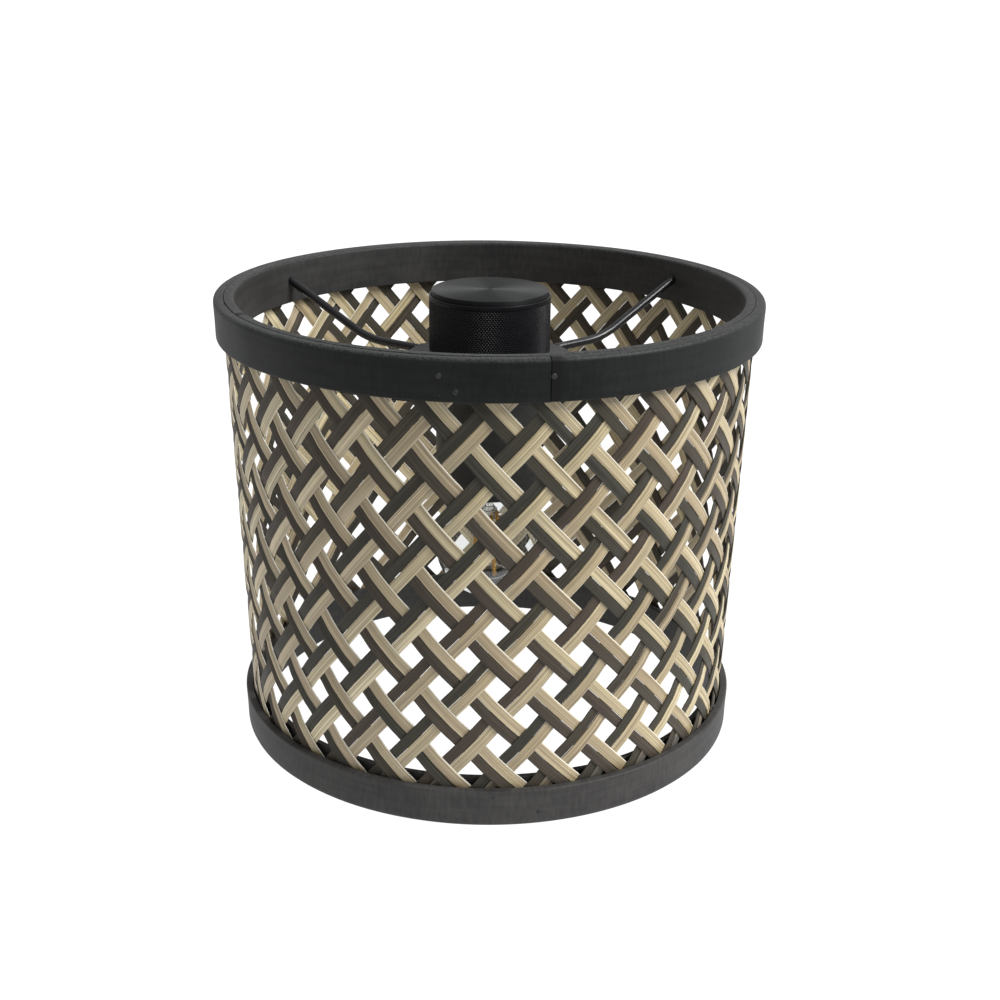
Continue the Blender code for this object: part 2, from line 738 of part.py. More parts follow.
def bulb_inside(finishes, parent):
    stem = [
        (0.0, 58.0),
        (1.2, 58.6),
        (1.4, 72.0),
        (1.9, 76.0),
        (1.9, 86.0),
        (4.4, 90.5),
        (4.4, 95.0),
        (0.0, 95.0),
    ]
    turned("bulb_stem", stem, 16, finishes["clear_glass"], parent)
    for number in range(FILAMENT_COUNT):
        azimuth = FILAMENT_FIRST_AZIMUTH + 360.0 / FILAMENT_COUNT * number
        ends = [
            on_circle(FILAMENT_TOP_PITCH, azimuth, FILAMENT_HIGH),
            on_circle(FILAMENT_FOOT_PITCH, azimuth, FILAMENT_LOW),
        ]
        wire(f"filament_{number + 1}", ends, FILAMENT_RADIUS, finishes["phosphor"], parent, 1)
    crown(
        "filament_crown",
        FILAMENT_TOP_PITCH,
        FILAMENT_HIGH + 1.2,
        finishes["steel"],
        parent,
    )
    crown(
        "filament_support",
        FILAMENT_FOOT_PITCH,
        FILAMENT_LOW - 1.2,
        finishes["steel"],
        parent,
    )
    for number in range(2):
        azimuth = FILAMENT_FIRST_AZIMUTH + 45.0 + 180.0 * number
        low = FILAMENT_HIGH + 1.2 + 2 * CROWN_WIRE_RADIUS + GAP
        ends = [
            on_circle(FILAMENT_TOP_PITCH, azimuth, low),
            on_circle(FILAMENT_TOP_PITCH, azimuth, 86.8),
        ]
        name = f"lead_wire_{number + 1}"
        wire(name, ends, CROWN_WIRE_RADIUS, finishes["steel"], parent, 0)


def crown(name, radius, height, finish, parent):
    points = [on_circle(radius, 360.0 * step / 14, height) for step in range(14)]
    wire(name, points, CROWN_WIRE_RADIUS, finish, parent, resolution=0, closed=True)


# ---------------------------------------------------------------- assembly


def make_finishes():
    return {
        "black_bamboo": material("black_bamboo", (0.018, 0.018, 0.02), 0.55),
        "natural_bamboo": material("natural_bamboo", (0.52, 0.42, 0.25), 0.6),
        "pin": material("pin", (0.09, 0.09, 0.1), 0.4, 1.0),
        "black_wire": material("black_wire", (0.012, 0.012, 0.014), 0.3),
        "matte_black": material("matte_black", (0.03, 0.033, 0.034), 0.45),
        "knurled_black": material("knurled_black", (0.01, 0.01, 0.014), 0.35),
        "seal_rubber": material("seal_rubber", (0.02, 0.02, 0.02), 0.8),
        "cell_wrap": material("cell_wrap", (0.05, 0.2, 0.09), 0.35),
        "steel": material("steel", (0.6, 0.6, 0.6), 0.3, 1.0),
        "brass": material("brass", (0.75, 0.58, 0.28), 0.3, 1.0),
        "nickel": material("nickel", (0.66, 0.64, 0.6), 0.25, 1.0),
        "board_green": material("board_green", (0.02, 0.12, 0.05), 0.5),
        "ceramic": material("ceramic", (0.7, 0.68, 0.63), 0.35),
        "black_glass": material("black_glass", (0.02, 0.02, 0.02), 0.15),
        "clear_glass": material("clear_glass", (0.9, 0.92, 0.92), 0.03, 0.0, 0.2),
        "phosphor": material("phosphor", (0.9, 0.5, 0.1), 0.5),
    }


def main():
    clear_scene()
    finishes = make_finishes()
    shade_group = group("shade")
    lamp_group = group("lamp", shade_group)
    cover_group = group("cover", lamp_group)
    button_group = group("button", cover_group)
    bulb_group = group("bulb", lamp_group)
    shade(finishes, shade_group)
    lower_housing(finishes["matte_black"], lamp_group)
    seal_ring(finishes["seal_rubber"], lamp_group)
    battery_holder(finishes["matte_black"], lamp_group)
    for number in range(CELL_COUNT):
        battery_cell(number, finishes, lamp_group)
    switch_board(finishes, lamp_group)
    socket(finishes, lamp_group)
    knurled_barrel(finishes["knurled_black"], cover_group)
    button(finishes, button_group)
    bulb_base(finishes, bulb_group)
    bulb_glass(finishes["clear_glass"], bulb_group)
    bulb_inside(finishes, bulb_group)


main()
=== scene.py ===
"""The looks of a woven bamboo lantern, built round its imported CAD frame. Metres, +Z up, -Y in front.
Most lengths below are in millimetres, as in the CAD source, and become metres where a mesh is made."""

import json
import math

import bmesh
import bpy
import numpy as np
from mathutils import Matrix, Vector


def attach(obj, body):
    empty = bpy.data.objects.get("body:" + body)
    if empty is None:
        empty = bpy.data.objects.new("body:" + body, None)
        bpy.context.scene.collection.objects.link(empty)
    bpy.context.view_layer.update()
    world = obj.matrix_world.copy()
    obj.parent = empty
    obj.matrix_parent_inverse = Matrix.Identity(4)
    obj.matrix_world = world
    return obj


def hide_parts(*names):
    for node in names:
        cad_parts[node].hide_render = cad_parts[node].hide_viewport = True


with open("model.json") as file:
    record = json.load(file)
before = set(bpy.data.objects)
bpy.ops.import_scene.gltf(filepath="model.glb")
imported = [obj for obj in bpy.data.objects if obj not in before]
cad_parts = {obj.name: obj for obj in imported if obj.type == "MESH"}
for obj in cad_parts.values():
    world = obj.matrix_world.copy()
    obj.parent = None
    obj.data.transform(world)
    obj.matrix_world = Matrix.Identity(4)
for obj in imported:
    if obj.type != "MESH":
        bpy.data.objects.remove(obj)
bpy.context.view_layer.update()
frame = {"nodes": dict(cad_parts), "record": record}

MM = 0.001
WANDER_WAVES = 4
rng = np.random.default_rng(11)

# Shade: depths are counted inwards from the skin, the cone that the outer hoops' faces lie on.
SHADE_TOP = 167.3
TOP_RADIUS = 100.0
TAPER = 0.0295

# Weave: each pair is a black strip and a natural one. Azimuths are counted in pairs, from the front
# towards +X. A pitch is the height in which strips of that lean move on by one pair.
PAIRS = 31
LEFT_PITCH = 21.12
RIGHT_PITCH = 22.14
LEFT_FIRST = 0.857
RIGHT_FIRST = 1.084
LEFT_SWAY = 0.36
LEFT_SWAY_STILL = 0.53
RIGHT_SWAY = -0.10
RIGHT_SWAY_TURN = 0.84
PAIR_DRIFT = 0.08
WEAVE_LOW = 2.0
WEAVE_HIGH = 164.0
WEAVE_DEPTH = 3.5
WEAVE_SWING = 0.25
BLACK_SHARE = 0.270
NATURAL_SHARE = 0.287
OVERLAP_SHARE = 0.30
STRIP_THICK = 0.46
STRIP_TILT = 0.03
STRIP_STEPS = 150
LANDS = 4
LAND_DROP = 0.055
COARSE_PART = 0.45

# Hoops: the heights between which the stain and the paler, speckled top edge fade, and how a hoop's ends
# meet.
HOOP_ROWS = 481
SEAM_GAP = 0.4
PROUD_REACH = 9.0
PRESSED_REACH = 4.0
FACE_WAVE = 0.07
EDGE_WAVE = 0.10
STAIN_CLEAR = 18.5
STAIN_FULL = 16.5
TOP_PALE_CLEAR = 165.8
TOP_PALE_FULL = 166.9
# How far past a hoop's seam the painted shade is full, and where it has cleared, in mm along the band.
SEAM_SHADE_FULL = 2.2
SEAM_SHADE_CLEAR = 4.2
PIN_SINK = 0.15

# Spider
WIRE_RADIUS = 1.6
PLATE_RADIUS = 31.5
PLATE_LOW = 140.8
PLATE_HIGH = 142.0
PLATE_HOLE_RADIUS = 21.3
ARM_AZIMUTHS = (37.0, 149.0, 273.0)
ARM_START = (31.0, 140.6)
ARM_BEND = (55.0, 141.1)
ARM_TIP = (93.7, 160.6)
ARM_BEND_FILLET = 8.0
BEAD_HEIGHT = 141.2
BEAD_RADIUS = 0.75

# Lamp casing
BARREL_RADIUS = 22.4
BARREL_LOW = 143.8
BARREL_HIGH = 165.5
KNURL_LOW = 145.3
KNURL_HIGH = 163.9
KNURL_DEPTH = 0.32
KNURL_RISE = 0.02
KNURL_COUNT = 128
KNURL_ROWS = 26

# Bulb
GLASS_CENTRE = 67.0
GLASS_RADIUS = 20.5
GLASS_WALL = 0.7
GLASS_NECK_RADIUS = 5.8
GLASS_HIGH = 97.0
FILAMENT_COUNT = 4
FILAMENT_RADIUS = 0.75
FILAMENT_HIGH = 80.0
FILAMENT_LOW = 56.5
FILAMENT_TOP_PITCH = 3.2
FILAMENT_FOOT_PITCH = 7.5
FILAMENT_FIRST_AZIMUTH = 20.0
BULB_WIRE_RADIUS = 0.25
CAP_RADIUS = 6.8
CAP_LOW = 88.5
CAP_SIDE = 12.7
CAP_STEPS = 72
THREAD_PITCH = 2.8
THREAD_DEPTH = 0.34

# Studio
FLOOR_REACH = 30.0
FLOOR_DROP = 0.0002
FLOOR_SEEN = 1.05
FLOOR_GLOW = 0.85
FLOOR_GLOW_FRONT = 0.25
SKY_FRONT = 0.32
SKY_BACK = 0.7
SKY_BACK_TOWARDS = (0.25, 0.97, 0.0)
SUN_STRENGTH = 3.1
SUN_SPREAD = 30.0
SUN_FROM = (0.95, -0.35, 1.0)

# Camera
CAMERA_PLACE = (0.0, -0.534, 0.2824)
CAMERA_LENS = 53.2
CAMERA_PITCH = 20.29
CAMERA_YAW = 0.48
CAMERA_ROLL = 0.6


# ---------------------------------------------------------------- meshes


def grid_mesh(name, points, ring=False, tube=True, caps=False, across=None, traits=None, sharp=35.0):
    """One mesh from grids of points in millimetres, shaped (grids, rows, columns, 3).
    A ring joins its last row to its first, and a tube its last column to its first.
    The UV map is (length along the rows, length across the columns), in metres."""
    grids, rows, columns, _ = points.shape
    row, column = np.meshgrid(
        np.arange(rows if ring else rows - 1),
        np.arange(columns if tube else columns - 1),
        indexing="ij",
    )
    row, column = row.ravel(), column.ravel()
    next_row, next_column = (row + 1) % rows, (column + 1) % columns
    quads = np.stack(
        [
            row * columns + column,
            row * columns + next_column,
            next_row * columns + next_column,
            next_row * columns + column,
        ],
        axis=-1,
    )
    looped = np.concatenate([points, points[:, :1]], axis=1)
    along = np.linalg.norm(np.diff(looped, axis=1), axis=-1).mean(axis=2)
    along = np.concatenate([np.zeros((grids, 1)), np.cumsum(along, axis=1)], axis=1)
    if across is None:
        middle = np.concatenate([points[:, 0], points[:, 0, :1]], axis=1)
        width = np.linalg.norm(np.diff(middle, axis=1), axis=-1).max(axis=0)
        across = np.concatenate([[0.0], np.cumsum(width)])
    faces = []
    uvs = []
    for grid in range(grids):
        shift = grid * rows * columns
        faces += (quads + shift).tolist()
        u = along[grid][np.stack([row, row, row + 1, row + 1], axis=-1)]
        v = across[np.stack([column, column + 1, column + 1, column], axis=-1)]
        uvs.append(np.stack([u, v], axis=-1).reshape(-1, 2))
        if caps:
            for end in (0, rows - 1):
                faces.append([shift + end * columns + place for place in range(columns)])
                uvs.append(np.array([(along[grid][end], across[place]) for place in range(columns)]))
    mesh = bpy.data.meshes.new(name)
    mesh.from_pydata((points.reshape(-1, 3) * MM).tolist(), [], faces)
    layer = mesh.uv_layers.new(name="grain")
    layer.data.foreach_set("uv", (np.concatenate(uvs) * MM).astype(np.float32).ravel())
    for trait, values in (traits or {}).items():
        attribute = mesh.attributes.new(trait, "FLOAT", "POINT")
        attribute.data.foreach_set("value", np.repeat(values, rows * columns).astype(np.float32))
    return tidied(mesh, sharp)


def tidied(mesh, sharp):
    """Welds poles, turns every face outwards and marks the sharp edges."""
    bm = bmesh.new()
    bm.from_mesh(mesh)
    bmesh.ops.remove_doubles(bm, verts=bm.verts, dist=0.0005 * MM)
    bmesh.ops.recalc_face_normals(bm, faces=bm.faces)
    bm.to_mesh(mesh)
    bm.free()
    mesh.shade_smooth()
    mesh.set_sharp_from_angle(angle=math.radians(sharp))
    return mesh


def piece(name, mesh, body, slot, *nodes):
    """Places a mesh on a body, in a finish, to stand for CAD nodes."""
    mesh.materials.clear()
    mesh.materials.append(finishes[slot])
    made = bpy.data.objects.new(name, mesh)
    bpy.context.scene.collection.objects.link(made)
    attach(made, body)
    if nodes:
        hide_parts(*nodes)


def filleted(corners, steps=4):
    """An outline whose (x, y, radius) corners are rounded."""
    outline = []
    for index, (x, y, radius) in enumerate(corners):
        here = Vector((x, y))
        if radius == 0.0:
            outline.append((x, y))
            continue
        back = Vector(corners[index - 1][:2]) - here
        ahead = Vector(corners[(index + 1) % len(corners)][:2]) - here
        cut = radius / math.tan(back.angle(ahead) / 2)
        start = here + back.normalized() * min(cut, back.length * 0.5)
        end = here + ahead.normalized() * min(cut, ahead.length * 0.5)
        for step in range(steps + 1):
            share = step / steps
            outline.append(tuple(start.lerp(here, share).lerp(here.lerp(end, share), share)))
    return outline


def lathe_points(outline, sides):
    """An outline of (radius, height) at every step of a turn, as one grid of points."""
    turn = np.linspace(0.0, math.tau, sides, endpoint=False)[:, None]
    outline = np.array(outline)
    x = np.cos(turn) * outline[:, 0]
    y = np.sin(turn) * outline[:, 0]
    z = np.broadcast_to(outline[:, 1], x.shape)
    return np.stack([x, y, z], axis=-1)[None]


def lathe(name, corners, sides=96, closed=True):
    """An outline of (radius, height, fillet), turned round the vertical axis."""
    return grid_mesh(name, lathe_points(filleted(corners), sides), ring=True, tube=closed)


def tube_points(path, radius, sides, closed=False):
    """Rings of points round a path. Open ends are rounded off."""
    path = np.array(path, float)
    radii = np.full(len(path), radius)
    if closed:
        tangent = np.roll(path, -1, axis=0) - np.roll(path, 1, axis=0)
    else:
        first = path[1] - path[0]
        last = path[-1] - path[-2]
        first /= np.linalg.norm(first)
        last /= np.linalg.norm(last)
        nose = [(0.0, 0.35), (0.12, 0.7), (0.4, 0.92)]
        head = [path[0] + first * (reach * radius) for reach, _ in nose]
        tail = [path[-1] - last * (reach * radius) for reach, _ in reversed(nose)]
        shares = [share for _, share in nose]
        start = path[0] + first * radius
        end = path[-1] - last * radius
        path = np.concatenate([head, [start], path[1:-1], [end], tail])
        radii = radius * np.array(shares + [1.0] * (len(path) - 2 * len(nose)) + shares[::-1])
        tangent = np.gradient(path, axis=0)
    tangent /= np.linalg.norm(tangent, axis=1)[:, None]
    side = np.cross(tangent[0], (0.0, 0.0, 1.0))
    if np.linalg.norm(side) < 1e-6:
        side = np.array((1.0, 0.0, 0.0))
    turn = np.linspace(0.0, math.tau, sides, endpoint=False)
    rings = []
    for place, direction, size in zip(path, tangent, radii):
        side = side - direction * (side @ direction)
        side /= np.linalg.norm(side)
        other = np.cross(direction, side)
        rings.append(place + size * (np.outer(np.cos(turn), side) + np.outer(np.sin(turn), other)))
    return np.array(rings)[None]


def on_circle(radius, azimuth, height):
    """A point at an azimuth in degrees, counted from +X."""
    angle = math.radians(azimuth)
    return (radius * math.cos(angle), radius * math.sin(angle), height)


def skin(height):
    """The radius of the drum's outside."""
    return TOP_RADIUS - TAPER * (SHADE_TOP - height)


def from_front(azimuth, radius, height):
    """Points at azimuths in radians, counted from the front towards +X."""
    x = radius * np.sin(azimuth)
    y = -radius * np.cos(azimuth)
    return np.stack(np.broadcast_arrays(x, y, height), axis=-1)


def wander(count, places, slowest):
    """Smooth random curves between about -1 and 1, one for each count, at places."""
    curves = np.zeros((count, len(places)))
    for wave in range(WANDER_WAVES):
        phase = rng.uniform(0.0, math.tau, (count, 1))
        size = rng.uniform(0.5, 1.0, (count, 1)) / (wave + 1)
        curves += size * np.sin(places[None, :] * slowest * (wave + 1) * 1.37 + phase)
    return curves / 1.5


# ---------------------------------------------------------------- finishes


class Nodes:
    """A node tree under construction."""

    def __init__(self, tree):
        self.tree = tree

    def node(self, kind, settings=(), **inputs):
        made = self.tree.nodes.new(kind)
        for setting, value in dict(settings).items():
            setattr(made, setting, value)
        for socket, value in inputs.items():
            self.feed(made.inputs[socket.replace("_", " ")], value)
        return made

    def feed(self, socket, value):
        if isinstance(value, bpy.types.NodeSocket):
            self.tree.links.new(value, socket)
        else:
            socket.default_value = value

    def fade(self, value, low, high, low_result=0.0, high_result=1.0):
        """Goes from one result to the other as the value goes from low to high."""
        made = self.node("ShaderNodeMapRange", Value=value, From_Min=low, From_Max=high)
        self.feed(made.inputs["To Min"], low_result)
        self.feed(made.inputs["To Max"], high_result)
        return made.outputs["Result"]

    def seen_or_cast(self, seen, cast):
        """One strength for what the camera sees directly, and another for the light that is cast."""
        made = self.node("ShaderNodeMix", {"data_type": "FLOAT"})
        self.feed(made.inputs[0], self.node("ShaderNodeLightPath").outputs["Is Camera Ray"])
        self.feed(made.inputs[2], cast)
        self.feed(made.inputs[3], seen)
        return made.outputs[0]


class Finish(Nodes):
    """A procedural material under construction."""

    def __init__(self, name, **sockets):
        self.material = bpy.data.materials.new(name)
        self.material.use_nodes = True
        super().__init__(self.material.node_tree)
        self.shader = self.tree.nodes["Principled BSDF"]
        for socket, value in sockets.items():
            self.shader.inputs[socket.replace("_", " ")].default_value = value

    def maths(self, operation, first, second=0.0):
        made = self.node("ShaderNodeMath", {"operation": operation})
        self.feed(made.inputs[0], first)
        self.feed(made.inputs[1], second)
        return made.outputs[0]

    def weighed(self, *terms):
        """The sum of values, each times its weight."""
        total = None
        for value, weight in terms:
            term = self.maths("MULTIPLY", value, weight)
            total = term if total is None else self.maths("ADD", total, term)
        return total

    def blend(self, share, first, second, how="MIX"):
        made = self.node("ShaderNodeMix", {"data_type": "RGBA", "blend_type": how})
        self.feed(made.inputs[0], share)
        self.feed(made.inputs[6], first)
        self.feed(made.inputs[7], second)
        return made.outputs[2]

    def ramp(self, share, *stops):
        """Colours, or greys, at places from 0 to 1."""
        made = self.node("ShaderNodeValToRGB", Fac=share)
        elements = made.color_ramp.elements
        while len(elements) < len(stops):
            elements.new(0.5)
        for element, (place, colour) in zip(elements, stops):
            element.position = place
            is_grey = not isinstance(colour, tuple)
            element.color = (colour, colour, colour, 1.0) if is_grey else (*colour, 1.0)
        return made.outputs["Color"]

    def trait(self, name):
        return self.node("ShaderNodeAttribute", {"attribute_name": name}).outputs["Fac"]

    def grain_axes(self):
        """Metres along and across the grain, from the mesh's own map."""
        split = self.node("ShaderNodeSeparateXYZ")
        self.feed(split.inputs[0], self.node("ShaderNodeUVMap", {"uv_map": "grain"}).outputs["UV"])
        return split.outputs[0], split.outputs[1]

    def place(self):
        """The place in the piece's own space, as x, y and z in metres."""
        split = self.node("ShaderNodeSeparateXYZ")
        self.feed(split.inputs[0], self.node("ShaderNodeTexCoord").outputs["Object"])
        return split.outputs

    def streaks(self, axes, along, across, depth=0.0, detail=2.0):
        """Noise drawn out along the grain: features per metre along and across it."""
        place = self.node(
            "ShaderNodeCombineXYZ",
            X=self.maths("MULTIPLY", axes[0], along),
            Y=self.maths("MULTIPLY", axes[1], across),
            Z=depth,
        )
        noise = self.node("ShaderNodeTexNoise", Vector=place.outputs[0], Scale=1.0, Detail=detail)
        return noise.outputs["Fac"]

    def fibre_lines(self, axes, across, depth):
        """Thin lines along the grain, 1 in a line and 0 beside it."""
        noise = self.streaks(axes, 3.0, across, depth, 0.0)
        distance = self.maths("ABSOLUTE", self.maths("SUBTRACT", noise, 0.5))
        return self.ramp(distance, (0.008, 1.0), (0.03, 0.0))

    def speckle(self, scale, detail=3.0):
        """Even noise in the piece's own space, with that many features per metre."""
        place = self.node("ShaderNodeTexCoord").outputs["Object"]
        return self.node("ShaderNodeTexNoise", Vector=place, Scale=scale, Detail=detail).outputs["Fac"]

    def bump(self, height, distance, strength=1.0):
        made = self.node("ShaderNodeBump", Height=height, Distance=distance, Strength=strength)
        self.use("Normal", made.outputs["Normal"])

    def sheen(self, amount, turned=False):
        """Stretches the gloss across the grain, as fine fibres do, or across rings turned on a lathe."""
        grain = {"direction_type": "UV_MAP", "uv_map": "grain"}
        rings = {"direction_type": "RADIAL", "axis": "Z"}
        along = self.node("ShaderNodeTangent", rings if turned else grain)
        self.use("Tangent", along.outputs["Tangent"])
        self.shader.inputs["Anisotropic"].default_value = amount
        self.shader.inputs["Anisotropic Rotation"].default_value = 0.25

    def use(self, socket, value):
        self.feed(self.shader.inputs[socket], value)


def natural_bamboo():
    """Split cane with dark fibre lines. Its slanted edge is pale, partly its own cut edge and partly painted
    highlight, with painted shade beside it as of a groove, and strips that climb to the right took up stain
    near the bottom hoop."""
    finish = Finish("natural_bamboo", IOR=1.65, Specular_IOR_Level=1.0)
    finish.sheen(0.6)
    axes = finish.grain_axes()
    deep = finish.maths("MULTIPLY", finish.trait("seed"), 90.0)
    fine = finish.streaks(axes, 9.0, 3400.0, deep, 2.0)
    broad = finish.streaks(axes, 5.0, 900.0, finish.maths("ADD", deep, 7.0), 1.0)
    grain = finish.weighed((fine, 0.65), (broad, 0.35))
    wood = finish.ramp(
        grain,
        (0.36, (0.27, 0.2, 0.1)),
        (0.5, (0.54, 0.44, 0.255)),
        (0.62, (0.82, 0.71, 0.47)),
    )
    tint = finish.ramp(
        finish.trait("tone"),
        (0.0, (0.76, 0.7, 0.64)),
        (0.35, (0.96, 0.93, 0.9)),
        (0.7, (1.02, 1.02, 0.96)),
        (1.0, (1.22, 1.24, 1.24)),
    )
    wood = finish.blend(1.0, wood, tint, "MULTIPLY")
    patch = finish.streaks(axes, 60.0, 260.0, finish.maths("ADD", deep, 53.0))
    wood = finish.blend(finish.ramp(patch, (0.45, 0.0), (0.75, 0.4)), wood, (0.4, 0.34, 0.19, 1.0))
    lines = finish.fibre_lines(axes, 1500.0, finish.maths("ADD", deep, 31.0))
    lines = finish.maths("MULTIPLY", lines, finish.trait("coarse"))
    wood = finish.blend(lines, wood, (0.12, 0.08, 0.04, 1.0))
    place = finish.maths("MULTIPLY", axes[1], 500.0)
    # The slanted edge is paler: partly the cane's own cut edge, partly painted highlight, full on strips
    # whose edge faces the sun.
    pale_edge_and_highlight = finish.maths("MULTIPLY", finish.ramp(place, (0.8, 0.0), (0.88, 0.85)), finish.trait("pale_edge_and_highlight"))
    wood = finish.blend(pale_edge_and_highlight, wood, (0.93, 0.89, 0.76, 1.0))
    # A dark line beside the pale edge: painted shade, as of a groove the outline doesn't have, on the same
    # strips as the painted highlight.
    painted_groove_shade = finish.ramp(place, (0.62, 0.0), (0.66, 0.7), (0.7, 0.7), (0.74, 0.0))
    painted_groove_shade = finish.maths("MULTIPLY", painted_groove_shade, finish.trait("pale_edge_and_highlight"))
    wood = finish.blend(painted_groove_shade, wood, (0.2, 0.145, 0.08, 1.0))
    low = finish.fade(finish.place()[2], STAIN_CLEAR * MM, STAIN_FULL * MM)
    low = finish.maths("MULTIPLY", low, finish.trait("stained"))
    wood = finish.blend(low, wood, (0.05, 0.044, 0.038, 1.0))
    finish.use("Base Color", wood)
    finish.use("Roughness", finish.ramp(fine, (0.3, 0.48), (0.7, 0.58)))
    finish.bump(finish.maths("SUBTRACT", finish.maths("MULTIPLY", fine, 0.4), lines), 0.00006, 0.7)
    return finish.material


def dyed_strip():
    finish = Finish("dyed_strip", IOR=1.45, Specular_IOR_Level=0.35)
    finish.sheen(0.7)
    axes = finish.grain_axes()
    deep = finish.maths("MULTIPLY", finish.trait("seed"), 90.0)
    fine = finish.streaks(axes, 9.0, 3000.0, deep, 2.0)
    lines = finish.fibre_lines(axes, 1400.0, finish.maths("ADD", deep, 31.0))
    worn = finish.streaks(axes, 70.0, 600.0, finish.maths("ADD", deep, 11.0))
    stain = finish.ramp(
        fine,
        (0.3, (0.040, 0.033, 0.026)),
        (0.55, (0.066, 0.0555, 0.044)),
        (0.75, (0.108, 0.092, 0.072)),
    )
    tint = finish.ramp(
        finish.trait("tone"),
        (0.0, (0.82, 0.92, 0.9)),
        (0.45, (0.97, 1.02, 0.94)),
        (1.0, (1.24, 1.13, 1.1)),
    )
    stain = finish.blend(1.0, stain, tint, "MULTIPLY")
    stain = finish.blend(finish.ramp(worn, (0.66, 0.0), (0.8, 0.35)), stain, (0.13, 0.103, 0.075, 1.0))
    finish.use("Base Color", stain)
    finish.use("Roughness", finish.ramp(fine, (0.3, 0.5), (0.7, 0.68)))
    finish.bump(finish.maths("SUBTRACT", finish.maths("MULTIPLY", fine, 0.4), lines), 0.00006, 0.6)
    return finish.material


def hoop_bamboo():
    """Dark bamboo, coloured lighter on the low hoops and lighter and speckled on the top edge, with painted
    shade where a hoop's ends meet.
    """
    finish = Finish("hoop_bamboo", IOR=1.45, Specular_IOR_Level=0.32)
    axes = finish.grain_axes()
    grain = finish.streaks(axes, 45.0, 420.0, 3.0, 4.0)
    hatch = finish.streaks(axes, 800.0, 170.0, 9.0, 4.0)
    cloud = finish.speckle(45.0, 5.0)
    mixed = finish.weighed((hatch, 0.3), (cloud, 0.4), (grain, 0.3))
    stain = finish.ramp(mixed, (0.38, (0.0055, 0.0065, 0.0067)), (0.62, (0.0155, 0.0168, 0.0165)))
    pale = finish.ramp(mixed, (0.38, (0.034, 0.032, 0.032)), (0.62, (0.07, 0.068, 0.066)))
    # Lighter on the bottom outer hoop, and partly lighter on both inner hoops.
    stain = finish.blend(finish.trait("tone"), stain, pale)
    # Lighter and speckled towards the top edge.
    top_speckle = finish.speckle(1300.0, 4.0)
    pale_top = finish.ramp(top_speckle, (0.36, (0.013, 0.014, 0.014)), (0.64, (0.056, 0.06, 0.056)))
    on_top = finish.fade(finish.place()[2], TOP_PALE_CLEAR * MM, TOP_PALE_FULL * MM)
    stain = finish.blend(on_top, stain, pale_top)
    # Painted shade: near-black in the pressed-in end just past the seam, clearing within a few millimetres.
    clear_of_seam_shade = finish.fade(axes[0], SEAM_SHADE_FULL * MM, SEAM_SHADE_CLEAR * MM)
    stain = finish.blend(clear_of_seam_shade, (0.005, 0.005, 0.0055, 1.0), stain)
    spots = finish.speckle(900.0, 2.0)
    stain = finish.blend(finish.ramp(spots, (0.72, 0.0), (0.78, 0.5)), stain, (0.09, 0.085, 0.08, 1.0))
    finish.use("Base Color", stain)
    finish.use("Roughness", finish.ramp(cloud, (0.3, 0.5), (0.7, 0.62)))
    relief = finish.weighed((grain, 0.35), (hatch, 0.3), (top_speckle, finish.maths("MULTIPLY", on_top, 0.3)))
    finish.bump(relief, 0.0001, 0.6)
    return finish.material


def speckled(name, dark, light, rough, scale=300.0, height=0.00001, **sockets):
    """A nearly even surface: small changes of colour and roughness, and a fine bump."""
    finish = Finish(name, **sockets)
    broad = finish.speckle(scale * 0.12)
    fine = finish.speckle(scale)
    mixed = finish.weighed((broad, 0.6), (fine, 0.4))
    finish.use("Base Color", finish.ramp(mixed, (0.35, dark), (0.65, light)))
    finish.use("Roughness", finish.ramp(broad, (0.3, rough[0]), (0.7, rough[1])))
    finish.bump(fine, height)
    return finish.material


def turned_metal(name, dark, light, rough, **sockets):
    """Fine rings round the axis, as a lathe leaves them."""
    finish = Finish(name, **sockets)
    rings = finish.node(
        "ShaderNodeTexWave",
        {"wave_type": "RINGS", "rings_direction": "Z"},
        Vector=finish.node("ShaderNodeTexCoord").outputs["Object"],
        Scale=420.0,
        Distortion=1.5,
        Detail=2.0,
    ).outputs["Fac"]
    broad = finish.speckle(60.0)
    mixed = finish.weighed((broad, 0.7), (rings, 0.3))
    finish.use("Base Color", finish.ramp(mixed, (0.3, dark), (0.7, light)))
    finish.use("Roughness", finish.ramp(broad, (0.3, rough[0]), (0.7, rough[1])))
    finish.bump(rings, 0.000004)
    finish.sheen(0.8, turned=True)
    return finish.material


